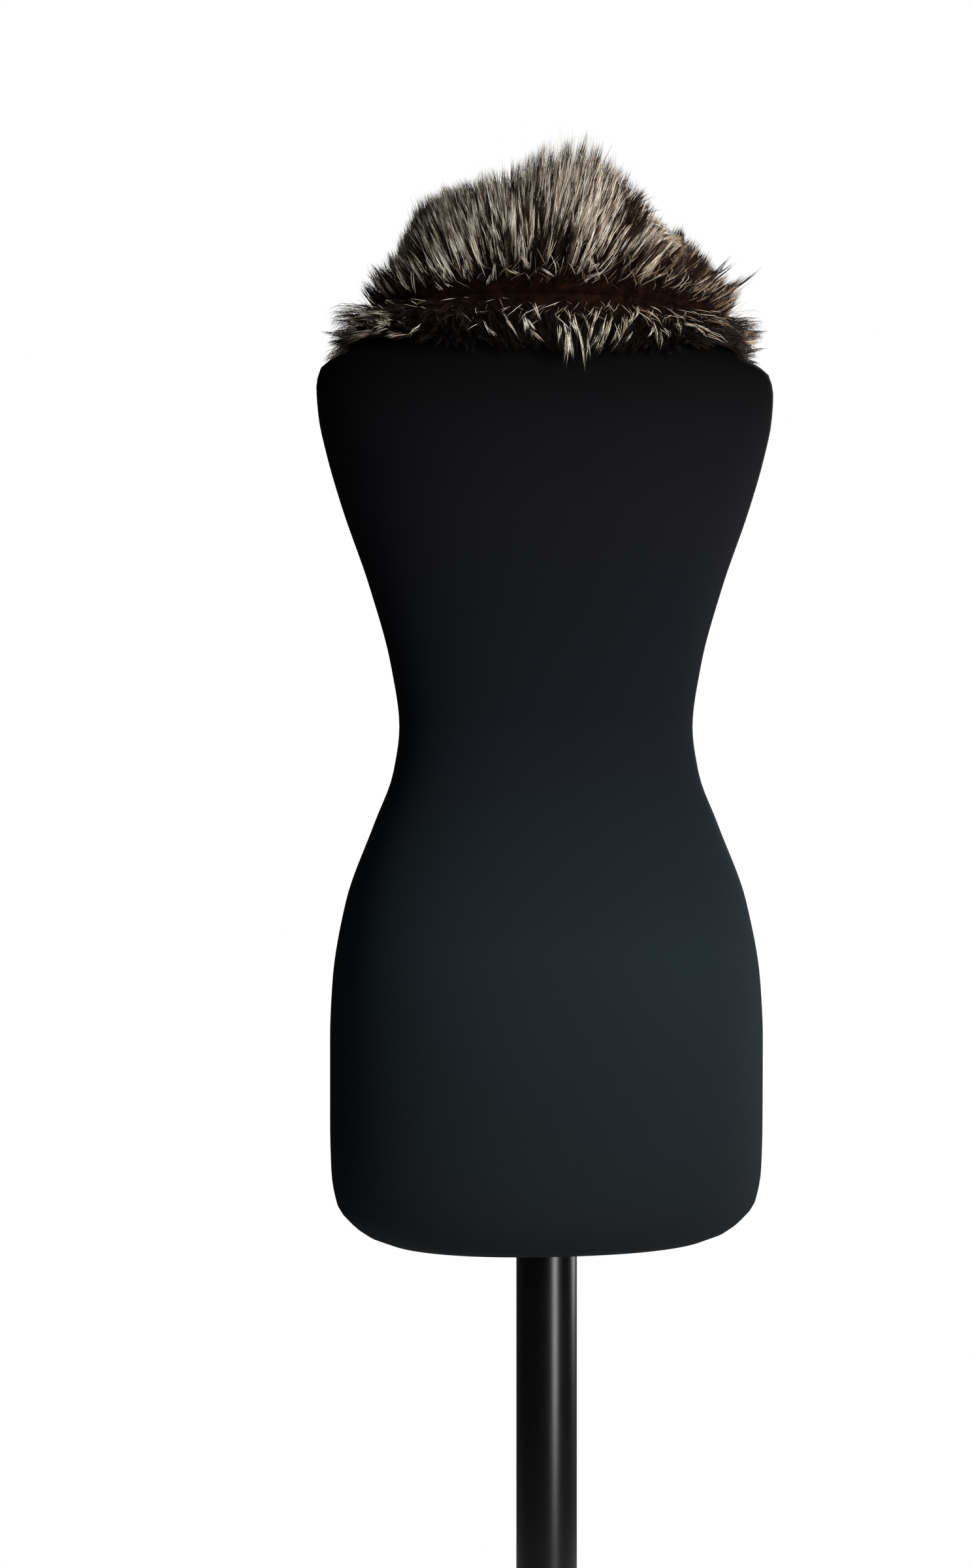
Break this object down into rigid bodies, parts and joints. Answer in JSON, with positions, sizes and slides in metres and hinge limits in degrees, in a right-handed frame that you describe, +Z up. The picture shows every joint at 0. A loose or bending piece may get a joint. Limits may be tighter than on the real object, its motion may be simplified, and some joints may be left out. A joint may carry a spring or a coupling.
{
  "type": "fur collar wrap on a dress form",
  "caption": "Parted fur collar wrap standing round the neck of a limbless dress form, its rounded ends on the chest, on a pole and round foot.",
  "frame": {"origin": "centre of the foot's underside, on the floor", "axes": "+Z up along the pole, -Y the front of the form, +Y its back, +X the wearer's left"},
  "size_m": [0.387, 0.38, 1.5723],
  "materials": {
    "stand_lacquer": "black satin lacquer",
    "pole_satin": "black satin lacquer",
    "form_jersey": "fine black stretch jersey, matt",
    "fur_banded": "long fur with dark roots and grey-cream bands",
    "fur_dark": "dark brown underfur with sparse white-tipped hairs"
  },
  "bodies": {
    "root": {"base": "stand_lacquer", "pole": "pole_satin", "form_torso": "form_jersey", "collar_back_stand": "fur_banded", "collar_back_fall": "fur_dark", "collar_left_front": "fur_banded", "collar_right_front": "fur_banded"}
  },
  "joints": []
}
